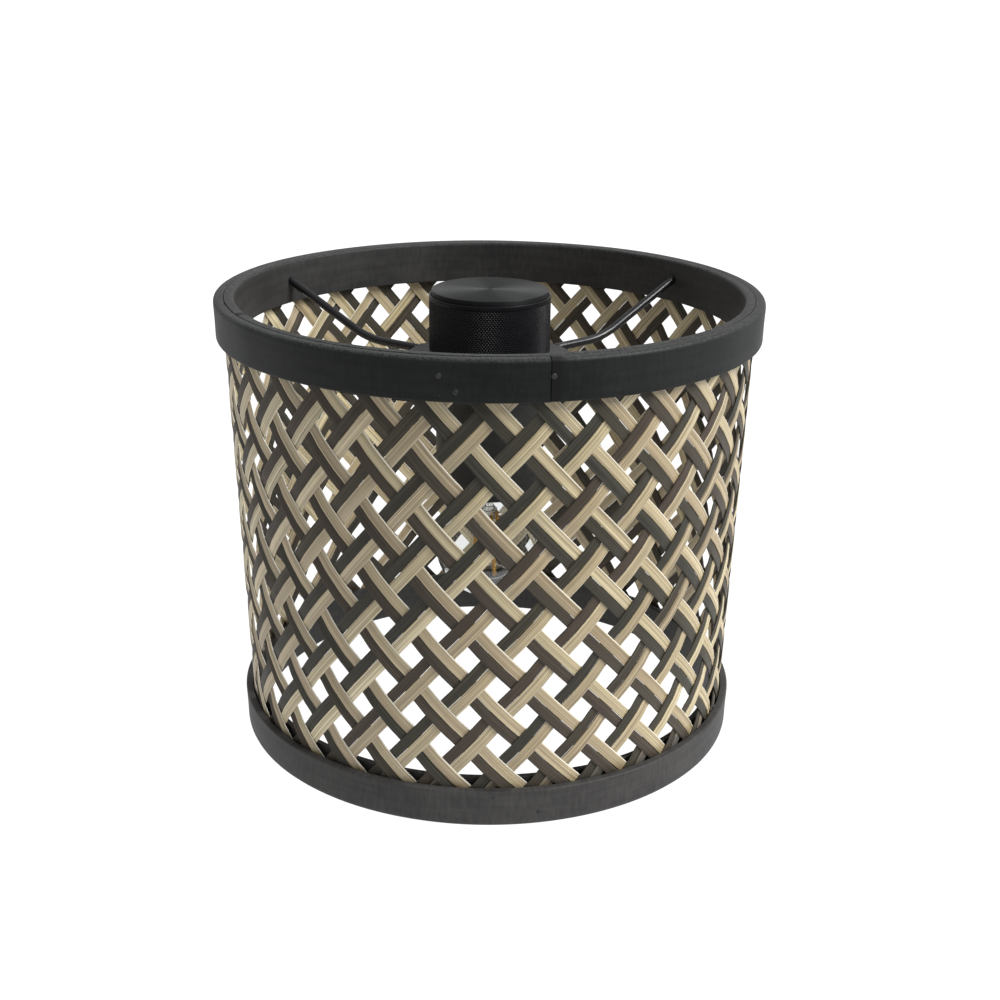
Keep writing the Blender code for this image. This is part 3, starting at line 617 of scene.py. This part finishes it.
finishes = {
    "natural_bamboo": natural_bamboo(),
    "dyed_strip": dyed_strip(),
    "black_bamboo": hoop_bamboo(),
    "pin": speckled("pin", (0.02, 0.02, 0.021), (0.055, 0.055, 0.057), (0.4, 0.6), 1500.0, Metallic=0.4),
    "black_wire": speckled(
        "black_wire", (0.010, 0.010, 0.012), (0.016, 0.016, 0.018), (0.24, 0.32), 900.0, 0.00002
    ),
    "matte_black_plate": speckled(
        "plate_black", (0.03, 0.032, 0.031), (0.045, 0.048, 0.046), (0.4, 0.5), 1400.0, 0.000015
    ),
    "matte_black": speckled(
        "matte_black", (0.018, 0.02, 0.02), (0.03, 0.032, 0.031), (0.45, 0.55), 1600.0, 0.000012
    ),
    "button_black": turned_metal(
        "button_black", (0.009, 0.01, 0.01), (0.014, 0.015, 0.015), (0.46, 0.55), Specular_IOR_Level=0.2
    ),
    "knurled_black": speckled(
        "knurled_black",
        (0.003, 0.003, 0.005),
        (0.006, 0.006, 0.009),
        (0.3, 0.38),
        1200.0,
        Specular_IOR_Level=0.35,
    ),
    "seal_rubber": speckled("seal_rubber", (0.012, 0.012, 0.012), (0.02, 0.02, 0.02), (0.7, 0.8)),
    "cell_wrap": speckled("cell_wrap", (0.03, 0.16, 0.07), (0.05, 0.2, 0.09), (0.3, 0.4)),
    "steel": speckled("steel", (0.5, 0.5, 0.5), (0.64, 0.64, 0.63), (0.22, 0.36), 900.0, Metallic=1.0),
    "brass": speckled("brass", (0.66, 0.47, 0.2), (0.8, 0.62, 0.3), (0.22, 0.36), 900.0, Metallic=1.0),
    "nickel": turned_metal("nickel", (0.55, 0.53, 0.49), (0.7, 0.68, 0.64), (0.16, 0.28), Metallic=1.0),
    "board_green": speckled("board_green", (0.012, 0.09, 0.035), (0.025, 0.14, 0.055), (0.4, 0.5)),
    "ceramic": speckled("ceramic", (0.62, 0.6, 0.55), (0.72, 0.7, 0.65), (0.28, 0.4)),
    "black_glass": speckled("black_glass", (0.012, 0.012, 0.013), (0.02, 0.02, 0.021), (0.1, 0.2)),
    "clear_glass": speckled(
        "clear_glass",
        (0.96, 0.98, 0.98),
        (1.0, 1.0, 1.0),
        (0.0, 0.015),
        60.0,
        0.0,
        Transmission_Weight=1.0,
        IOR=1.47,
    ),
    "phosphor": speckled("phosphor", (0.86, 0.42, 0.07), (0.95, 0.58, 0.16), (0.45, 0.6), 1800.0, 0.00004),
}


# ---------------------------------------------------------------- weave


def level(place):
    """+1 near the even numbers and -1 near the odd ones, flat where strips overlap, smooth between."""
    distance = np.abs((place + 1.0) % 2.0 - 1.0)
    share = np.clip((distance - OVERLAP_SHARE) / (1.0 - 2.0 * OVERLAP_SHARE), 0.0, 1.0)
    return 1.0 - 2.0 * share * share * (3.0 - 2.0 * share)


def sway(lean, azimuth, z):
    """How far, in pairs, the weave leads or lags where it was pulled out of true.
    Strips that climb to the left sway twice in a turn, and the others three times."""
    angle = azimuth * math.tau / PAIRS
    share = z / SHADE_TOP
    if lean < 0:
        return LEFT_SWAY * np.sin(2.0 * angle) * (LEFT_SWAY_STILL - share)
    return RIGHT_SWAY * np.cos(3.0 * angle + RIGHT_SWAY_TURN) * share


def strip_section():
    """A strip's outline: places across its width, from -1 to 1, and through its thickness.
    The first places are its face, two for each land; the edge towards +1 is cut at a slant."""
    across = [-0.93, -0.5, -0.45, -0.02, 0.03, 0.36, 0.41, 0.76, 1.0, 1.0, 0.93, 0.0, -0.93, -1.0, -1.0]
    through = [1.0, 1.0, 1.0, 1.0, 1.0, 1.0, 1.0, 1.0, -0.3, -0.8, -1.0, -1.0, -1.0, -0.72, 0.72]
    return np.array(across), np.array(through)


def strip_ridges(coarse, row, places):
    """How far each place of each strip's outline is cut back: its lands step down, more on coarse strips."""
    ridges = np.zeros((PAIRS, len(row), places))
    for land in range(LANDS):
        depth = LAND_DROP * land * coarse + rng.uniform(0.0, 0.02, PAIRS)
        depth = depth[:, None] + 0.01 * wander(PAIRS, row, 1.3)
        ridges[:, :, 2 * land : 2 * land + 2] = np.clip(depth, 0.0, 0.2)[:, :, None]
    return ridges


def woven_strips(name, lean, black, drift, slot, node):
    """All strips of one colour that lean one way: -1 climbs to the left, +1 to the right.
    Each pair drifts sideways as one, by drift at each step."""
    across, through = strip_section()
    height = np.linspace(WEAVE_LOW, WEAVE_HIGH, STRIP_STEPS + 1)
    number = np.arange(PAIRS)[:, None]
    first, pitch = (LEFT_FIRST, LEFT_PITCH) if lean < 0 else (RIGHT_FIRST, RIGHT_PITCH)
    other_first, other_pitch = (RIGHT_FIRST, RIGHT_PITCH) if lean < 0 else (LEFT_FIRST, LEFT_PITCH)
    row = height / pitch
    share = BLACK_SHARE if black else NATURAL_SHARE
    centre = number + first + (BLACK_SHARE / 2 if black else BLACK_SHARE + NATURAL_SHARE / 2)
    step_x = (skin(height) - WEAVE_DEPTH) * math.tau / PAIRS
    slope = np.hypot(step_x, pitch)
    width = share * step_x * pitch / slope
    width = width * (0.985 + 0.012 * wander(PAIRS, row, 0.9) + rng.uniform(-0.03, 0.0, (PAIRS, 1)))
    tilt = STRIP_TILT * wander(PAIRS, row, 2.1)
    is_coarse = rng.uniform(0.0, 1.0, PAIRS) < COARSE_PART
    coarse = np.where(is_coarse, rng.uniform(0.6, 1.0, PAIRS), 0.2)
    ridges = strip_ridges(coarse, row, len(across))
    # offset of each point from the centre line, in the plane of the weave
    offset = across[None, None, :] * width[:, :, None] / 2 + drift[:, :, None]
    part_x = (offset * pitch / slope[None, :, None]) / step_x[None, :, None]
    part_z = (offset * step_x[None, :, None] / slope[None, :, None]) / pitch
    azimuth = centre[:, :, None] + lean * row[None, :, None] + part_x
    z = (row[None, :, None] - lean * part_z) * pitch
    azimuth = azimuth + sway(lean, azimuth, z)
    other_pair = azimuth + lean * z / other_pitch - other_first - sway(-lean, azimuth, z)
    other_pair = other_pair - (BLACK_SHARE + NATURAL_SHARE) / 2
    side = level(other_pair - number[:, :, None])
    if lean > 0:
        side = -side
    outward = WEAVE_SWING * side + through * STRIP_THICK / 2 - ridges + tilt[:, :, None] * across
    points = from_front(azimuth * math.tau / PAIRS, skin(z) - WEAVE_DEPTH + outward, z)
    traits = {
        "seed": rng.uniform(0.0, 1.0, PAIRS),
        "tone": rng.uniform(0.0, 1.0, PAIRS),
        "coarse": coarse,
        # How strongly the slanted edge takes its painted highlight and the painted shade beside it: full on
        # strips that climb to the left, whose edge faces the sun.
        "pale_edge_and_highlight": np.full(PAIRS, 1.0 if lean < 0 else 0.2),
        "stained": rng.uniform(0.55, 1.0, PAIRS) if lean > 0 else rng.uniform(0.0, 0.1, PAIRS),
    }
    reach = np.append(across, across[0]) * 2.0
    mesh = grid_mesh(name, points, caps=True, across=reach, traits=traits, sharp=50.0)
    piece(name, mesh, "shade", slot, node)


def weave():
    for lean, word in ((-1, "left"), (1, "right")):
        node = f"weave_{word}_strips"
        drift = PAIR_DRIFT * wander(PAIRS, np.linspace(0.0, 7.5, STRIP_STEPS + 1), 0.8)
        drift = drift + rng.uniform(-PAIR_DRIFT, PAIR_DRIFT, (PAIRS, 1))
        woven_strips(f"natural_strips_{word}", lean, False, drift, "natural_bamboo", node)
        woven_strips(f"black_strips_{word}", lean, True, drift, "dyed_strip", node)


# ---------------------------------------------------------------- hoops


def hoop(name, corners, seam, step, pale, node):
    """A bent band with (depth, height, fillet) corners, whose two ends meet at a seam azimuth.
    One end stands a step proud, and the other one is pressed in. Rows lie closer near the seam."""
    outline = np.array(filleted(corners, 5))
    share = np.linspace(0.0, 1.0, HOOP_ROWS)
    gap = SEAM_GAP / TOP_RADIUS
    turn = gap / 2 + (math.tau - gap) * (share - 0.9 * np.sin(math.tau * share) / math.tau)
    azimuth = math.radians(seam) + turn
    proud = 0.5 * step * np.exp(-(math.tau - turn) * TOP_RADIUS / PROUD_REACH)
    pressed = step * np.exp(-((turn * TOP_RADIUS / PRESSED_REACH) ** 2))
    wave = FACE_WAVE * wander(1, azimuth, 3.0)[0] + (proud - pressed) - FACE_WAVE
    lift = EDGE_WAVE * wander(1, azimuth, 2.0)[0] - EDGE_WAVE
    depth = outline[None, :, 0]
    height = outline[None, :, 1]
    middle = (height.min() + height.max()) / 2
    free = np.clip((height - middle) / (height.max() - middle), 0.0, 1.0)
    z = height + lift[:, None] * free
    radius = skin(height) - depth + wave[:, None]
    points = from_front(azimuth[:, None], radius, z)[None]
    mesh = grid_mesh(name, points, caps=True, traits={"tone": [pale]}, sharp=40.0)
    piece(name, mesh, "shade", "black_bamboo", node)


def hoops():
    top_outer = [
        (2.7, 153.0, 0.2),
        (0.0, 153.0, 0.8),
        (0.1, 160.0, 0.0),
        (0.0, SHADE_TOP, 1.9),
        (3.7, SHADE_TOP - 0.1, 0.35),
        (3.7, 164.6, 0.2),
        (2.75, 164.3, 0.0),
    ]
    top_inner = [
        (7.5, 151.0, 0.5),
        (7.5, SHADE_TOP, 1.3),
        (3.85, SHADE_TOP, 0.35),
        (3.85, 164.6, 0.2),
        (5.25, 164.3, 0.0),
        (5.25, 151.0, 0.3),
    ]
    bottom_outer = [
        (2.7, 14.0, 0.2),
        (2.7, 1.7, 0.0),
        (3.55, 1.4, 0.2),
        (3.55, 0.0, 0.5),
        (0.0, 0.0, 1.6),
        (0.08, 7.0, 0.0),
        (0.0, 14.0, 0.7),
    ]
    bottom_inner = [
        (7.5, 16.5, 0.5),
        (5.25, 16.5, 0.3),
        (5.25, 1.7, 0.0),
        (3.95, 1.4, 0.2),
        (3.95, 0.0, 0.5),
        (7.5, 0.0, 1.0),
    ]
    hoop("top_outer_band", top_outer, 11.0, 0.32, 0.0, "top_outer_hoop")
    hoop("top_inner_band", top_inner, -64.0, 0.2, 0.6, "top_inner_hoop")
    hoop("bottom_outer_band", bottom_outer, 168.0, 0.4, 1.0, "bottom_outer_hoop")
    hoop("bottom_inner_band", bottom_inner, 20.0, 0.2, 0.6, "bottom_inner_hoop")


# azimuth in degrees from the front, and height
BRADS = {
    "top_brad_1": (-9.0, 161.5),
    "top_brad_2": (-6.0, 156.5),
    "top_brad_3": (11.5, 161.5),
    "bottom_brad_1": (1.5, 11.5),
    "bottom_brad_2": (11.0, 5.0),
}


def brads():
    """Small domed pins that hold the bands together."""
    corners = [
        (0.0, -1.9, 0.0),
        (0.42, -1.7, 0.1),
        (0.42, -0.25, 0.0),
        (1.0, -0.2, 0.12),
        (0.95, 0.1, 0.25),
        (0.3, 0.3, 0.2),
        (0.0, 0.22, 0.0),
    ]
    pin = lathe_points(filleted(corners), 24)
    for node, (azimuth, height) in BRADS.items():
        angle = math.radians(azimuth)
        outward = Vector((math.sin(angle), -math.cos(angle), 0.0))
        turn = np.array(outward.to_track_quat("Z", "Y").to_matrix())
        sunk = np.array(outward) * (skin(height) - PIN_SINK)
        points = pin @ turn.T + sunk + np.array((0.0, 0.0, height))
        name = node.replace("brad", "pin")
        piece(name, grid_mesh(name, points, ring=True, tube=False), "shade", "pin", node)


# ---------------------------------------------------------------- spider


def arm_line(azimuth):
    """The middle line of an arm: flat over the plate, bent up to the top inner hoop."""
    start = Vector(ARM_START)
    bend = Vector(ARM_BEND)
    tip = Vector(ARM_TIP)
    before = bend + (start - bend).normalized() * ARM_BEND_FILLET
    after = bend + (tip - bend).normalized() * ARM_BEND_FILLET
    line = [start.lerp(before, step / 8) for step in range(8)]
    for step in range(13):
        share = step / 12
        line.append(before.lerp(bend, share).lerp(bend.lerp(after, share), share))
    line += [after.lerp(tip, (step + 1) / 14) for step in range(14)]
    return [on_circle(radius, azimuth, height) for radius, height in line]


def rippled(points, size, pace):
    """A tube whose rings swell and shrink along it."""
    middle = points.mean(axis=2, keepdims=True)
    ripple = 1.0 + size * np.sin(np.arange(points.shape[1]) * pace)[None, :, None, None]
    return middle + (points - middle) * ripple


def weld_bead(azimuth, side):
    """A short bead in the corner between the plate's edge and one side of an arm."""
    line = []
    for step in range(9):
        turn = azimuth + side * math.degrees((1.2 + 2.2 * step / 8) / PLATE_RADIUS)
        line.append(on_circle(PLATE_RADIUS + 0.5 - 0.55 * step / 8, turn, BEAD_HEIGHT))
    return rippled(tube_points(line, BEAD_RADIUS, 12), 0.1, 2.2)


def spider():
    plate = [
        (PLATE_HOLE_RADIUS, PLATE_LOW, 0.25),
        (PLATE_RADIUS, PLATE_LOW, 0.35),
        (PLATE_RADIUS, PLATE_HIGH, 0.35),
        (PLATE_HOLE_RADIUS, PLATE_HIGH, 0.25),
    ]
    piece("lamp_seat_plate", lathe("lamp_seat_plate", plate), "shade", "matte_black_plate", "spider_plate")
    for number, azimuth in enumerate(ARM_AZIMUTHS, start=1):
        name = f"wire_arm_{number}"
        points = tube_points(arm_line(azimuth), WIRE_RADIUS, 20)
        mesh = grid_mesh(name, points, caps=True, sharp=60.0)
        piece(name, mesh, "shade", "black_wire", f"spider_arm_{number}")
    beads = [weld_bead(azimuth, side) for azimuth in ARM_AZIMUTHS for side in (-1.0, 1.0)]
    mesh = grid_mesh("weld_beads", np.concatenate(beads), caps=True, sharp=60.0)
    piece("weld_beads", mesh, "shade", "black_wire")


# ---------------------------------------------------------------- lamp


def knurled_barrel():
    """The barrel's outline turned round the axis, with diamond points raised from its side."""
    low = BARREL_LOW
    below = [
        (20.6, low),
        (21.9, low),
        (22.3, low + 0.35),
        (BARREL_RADIUS, low + 0.7),
        (BARREL_RADIUS, KNURL_LOW - 0.15),
    ]
    above = filleted(
        [
            (BARREL_RADIUS, KNURL_HIGH + 0.15, 0.0),
            (BARREL_RADIUS, BARREL_HIGH, 0.5),
            (21.8, BARREL_HIGH, 0.12),
            (21.8, 163.7, 0.0),
            (2.0, 163.7, 0.0),
            (2.0, 162.9, 0.0),
            (20.6, 162.9, 0.0),
        ]
    )
    rise = KNURL_HIGH - KNURL_LOW
    knurl = [(BARREL_RADIUS, KNURL_LOW + rise * step / KNURL_ROWS) for step in range(KNURL_ROWS + 1)]
    outline = below + knurl + above
    points = lathe_points(outline, 2 * KNURL_COUNT)[0]
    rows = np.arange(len(outline))
    turns = np.arange(2 * KNURL_COUNT)
    inside = (rows >= len(below)) & (rows < len(below) + len(knurl))
    valley = (rows[None, :] + turns[:, None]) % 2 == 0
    shrink = np.where(valley, 1.0 - KNURL_DEPTH / BARREL_RADIUS, 1.0 + KNURL_RISE / BARREL_RADIUS)
    shrink = np.where(inside[None, :], shrink, 1.0)
    points[:, :, :2] *= shrink[:, :, None]
    count, size = points.shape[:2]
    faces = []
    for turn in range(count):
        start = turn * size
        next_start = (turn + 1) % count * size
        for row in range(size):
            up = (row + 1) % size
            a = start + row
            b = next_start + row
            c = next_start + up
            d = start + up
            if not (inside[row] and inside[up]):
                faces.append((a, b, c, d))
            elif (row + turn) % 2 == 0:
                faces += [(a, b, c), (a, c, d)]
            else:
                faces += [(a, b, d), (b, c, d)]
    mesh = bpy.data.meshes.new("knurled_cover")
    mesh.from_pydata((points.reshape(-1, 3) * MM).tolist(), [], faces)
    piece("knurled_cover", tidied(mesh, 22.0), "cover", "knurled_black", "knurled_barrel")


def button():
    corners = [
        (0.0, 161.4, 0.0),
        (1.6, 161.4, 0.2),
        (1.6, 161.7, 0.0),
        (1.1, 161.7, 0.0),
        (1.1, 162.8, 0.0),
        (1.6, 162.8, 0.0),
        (1.6, 165.2, 0.2),
        (21.45, 165.2, 0.15),
        (21.45, 167.3, 0.35),
        (0.0, 167.3, 0.0),
    ]
    mesh = lathe("push_button", corners, 160, closed=False)
    piece("push_button", mesh, "button", "button_black", "button_cap")


def casing():
    corners = [
        (12.0, 91.0, 0.2),
        (20.0, 91.0, 0.9),
        (20.0, 142.3, 0.0),
        (22.3, 142.3, 0.15),
        (22.3, 143.5, 0.25),
        (20.0, 143.5, 0.0),
        (20.0, 147.0, 0.0),
        (19.0, 147.0, 0.0),
        (19.0, 149.0, 0.0),
        (20.0, 149.0, 0.0),
        (20.0, 156.0, 0.3),
        (18.2, 156.0, 0.2),
        (18.2, 93.0, 0.6),
        (12.0, 93.0, 0.2),
    ]
    piece("lamp_casing", lathe("lamp_casing", corners), "lamp", "matte_black", "lower_housing")


# ---------------------------------------------------------------- bulb


def glass_side(inset):
    """The bulb's outside, or its inside, from the mouth in the cap down to the bottom pole."""
    radius = GLASS_RADIUS - inset
    neck = GLASS_NECK_RADIUS - inset
    outline = [(neck, GLASS_HIGH), (neck, 91.5), (neck, 89.5)]
    join_angle = 52.0
    join = on_circle(radius, join_angle, 0.0)
    start = Vector(outline[-1])
    end = Vector((join[0], GLASS_CENTRE + join[1]))
    pull = Vector((neck + 0.4, end.y + 3.4))
    for step in range(1, 14):
        share = step / 14
        outline.append(tuple(start.lerp(pull, share).lerp(pull.lerp(end, share), share)))
    steps = 40
    for step in range(steps + 1):
        angle = join_angle - (join_angle + 90.0) * step / steps
        across, up, _ = on_circle(radius, angle, 0.0)
        outline.append((across if step < steps else 0.0, GLASS_CENTRE + up))
    return outline


def bulb():
    outline = glass_side(0.0)[::-1] + glass_side(GLASS_WALL)
    mesh = grid_mesh("globe", lathe_points(outline, 96), ring=True, tube=False, sharp=60.0)
    piece("globe", mesh, "bulb", "clear_glass", "bulb_glass")
    stem = [
        (0.0, 58.0, 0.0),
        (1.3, 58.0, 0.9),
        (1.4, 72.0, 3.0),
        (1.9, 76.0, 3.0),
        (1.9, 86.0, 3.0),
        (4.4, 90.5, 3.0),
        (4.4, 95.0, 0.3),
        (0.0, 95.0, 0.0),
    ]
    piece("glass_stem", lathe("glass_stem", stem, 48, closed=False), "bulb", "clear_glass", "bulb_stem")
    for number in range(FILAMENT_COUNT):
        azimuth = FILAMENT_FIRST_AZIMUTH + 360.0 / FILAMENT_COUNT * number
        top = Vector(on_circle(FILAMENT_TOP_PITCH, azimuth, FILAMENT_HIGH))
        foot = Vector(on_circle(FILAMENT_FOOT_PITCH, azimuth, FILAMENT_LOW))
        line = [tuple(top.lerp(foot, step / 24)) for step in range(25)]
        points = rippled(tube_points(line, FILAMENT_RADIUS, 14), 0.05, 1.9)
        name = f"led_filament_{number + 1}"
        mesh = grid_mesh(name, points, caps=True, sharp=60.0)
        piece(name, mesh, "bulb", "phosphor", f"filament_{number + 1}")
    for name, node, radius, height in (
        ("filament_top_ring", "filament_crown", FILAMENT_TOP_PITCH, FILAMENT_HIGH + 1.2),
        ("filament_foot_ring", "filament_support", FILAMENT_FOOT_PITCH, FILAMENT_LOW - 1.2),
    ):
        line = [on_circle(radius, 360.0 * step / 64, height) for step in range(64)]
        points = tube_points(line, BULB_WIRE_RADIUS, 10, closed=True)
        piece(name, grid_mesh(name, points, ring=True), "bulb", "steel", node)
    for number in range(2):
        azimuth = FILAMENT_FIRST_AZIMUTH + 45.0 + 180.0 * number
        low = FILAMENT_HIGH + 2.0
        line = [on_circle(FILAMENT_TOP_PITCH, azimuth, low + 0.68 * step) for step in range(11)]
        name = f"lead_in_{number + 1}"
        mesh = grid_mesh(name, tube_points(line, BULB_WIRE_RADIUS, 10), caps=True, sharp=60.0)
        piece(name, mesh, "bulb", "steel", f"lead_wire_{number + 1}")
    screw_cap()


def screw_cap():
    """A thin cap whose side carries a rolled screw thread, which fades out at both ends."""
    side = [(CAP_RADIUS, CAP_LOW + CAP_SIDE * step / CAP_STEPS) for step in range(CAP_STEPS + 1)]
    corners = [
        (6.6, 101.3, 0.0),
        (5.0, 102.8, 0.3),
        (4.4, 102.8, 0.2),
        (4.4, 102.3, 0.0),
        (6.1, 101.0, 0.5),
        (6.1, CAP_LOW, 0.1),
    ]
    outline = side + filleted(corners)
    points = lathe_points(outline, CAP_STEPS)[0]
    turn = np.linspace(0.0, math.tau, CAP_STEPS, endpoint=False)[:, None]
    height = points[:, :, 2]
    fade = np.clip((height - 90.0) / 1.5, 0.0, 1.0) * np.clip((101.0 - height) / 1.0, 0.0, 1.0)
    on_side = np.arange(len(outline))[None, :] < len(side)
    wave = np.sin(math.tau * height / THREAD_PITCH - turn) * THREAD_DEPTH - 0.3
    radius = CAP_RADIUS + np.where(on_side, wave * fade, 0.0)
    points[:, :, :2] *= (radius / CAP_RADIUS)[:, :, None]
    mesh = grid_mesh("screw_cap", points[None], ring=True, tube=True, sharp=50.0)
    piece("screw_cap", mesh, "bulb", "nickel", "bulb_cap")


# ---------------------------------------------------------------- assembly

for part in frame["record"]["subparts"]:
    for place in frame["nodes"][part["node"]].material_slots:
        place.material = finishes[part["material_slot"]]

weave()
hoops()
brads()
spider()
knurled_barrel()
button()
casing()
bulb()


# ---------------------------------------------------------------- studio


def floor():
    """A white floor. It lights the piece from below, less so in front, where the room is dark."""
    mesh = bpy.data.meshes.new("floor")
    far = FLOOR_REACH
    corners = [(-far, -far), (far, -far), (far, far), (-far, far)]
    mesh.from_pydata([(x, y, -FLOOR_DROP) for x, y in corners], [], [(0, 1, 2, 3)])
    white = (1.0, 1.0, 1.0, 1.0)
    finish = Finish("floor", Base_Color=(0.05, 0.05, 0.05, 1.0), Roughness=0.9, Emission_Color=white)
    glow = finish.fade(finish.place()[1], -0.55, -0.12, FLOOR_GLOW_FRONT, FLOOR_GLOW)
    finish.use("Emission Strength", finish.seen_or_cast(FLOOR_SEEN, glow))
    mesh.materials.append(finish.material)
    made = bpy.data.objects.new("floor", mesh)
    bpy.context.scene.collection.objects.link(made)


def studio():
    """White surroundings that light softly, most from behind, and a broad sun from the upper right."""
    world = bpy.data.worlds.new("studio")
    world.use_nodes = True
    bpy.context.scene.world = world
    nodes = Nodes(world.node_tree)
    back = world.node_tree.nodes["Background"]
    back.inputs["Color"].default_value = (1.0, 1.0, 1.0, 1.0)
    towards = nodes.node("ShaderNodeVectorMath", {"operation": "DOT_PRODUCT"})
    nodes.feed(towards.inputs[0], nodes.node("ShaderNodeTexCoord").outputs["Generated"])
    nodes.feed(towards.inputs[1], SKY_BACK_TOWARDS)
    glow = nodes.fade(towards.outputs["Value"], -0.5, 0.7, SKY_FRONT, SKY_BACK)
    nodes.feed(back.inputs["Strength"], nodes.seen_or_cast(1.0, glow))
    sun = bpy.data.lights.new("sun", "SUN")
    sun.energy = SUN_STRENGTH
    sun.angle = math.radians(SUN_SPREAD)
    made = bpy.data.objects.new("sun", sun)
    made.rotation_euler = Vector(SUN_FROM).to_track_quat("Z", "Y").to_euler()
    bpy.context.scene.collection.objects.link(made)


def camera():
    data = bpy.data.cameras.new("camera")
    data.lens = CAMERA_LENS
    data.sensor_width = 36.0
    data.clip_start = 0.02
    data.clip_end = 200.0
    made = bpy.data.objects.new("camera", data)
    bpy.context.scene.collection.objects.link(made)
    yaw = Matrix.Rotation(math.radians(-CAMERA_YAW), 4, "Z")
    pitch = Matrix.Rotation(math.radians(90.0 - CAMERA_PITCH), 4, "X")
    roll = Matrix.Rotation(math.radians(CAMERA_ROLL), 4, "Z")
    made.matrix_world = Matrix.Translation(CAMERA_PLACE) @ yaw @ pitch @ roll
    bpy.context.scene.camera = made
    bpy.context.scene.view_settings.view_transform = "Standard"


floor()
studio()
camera()
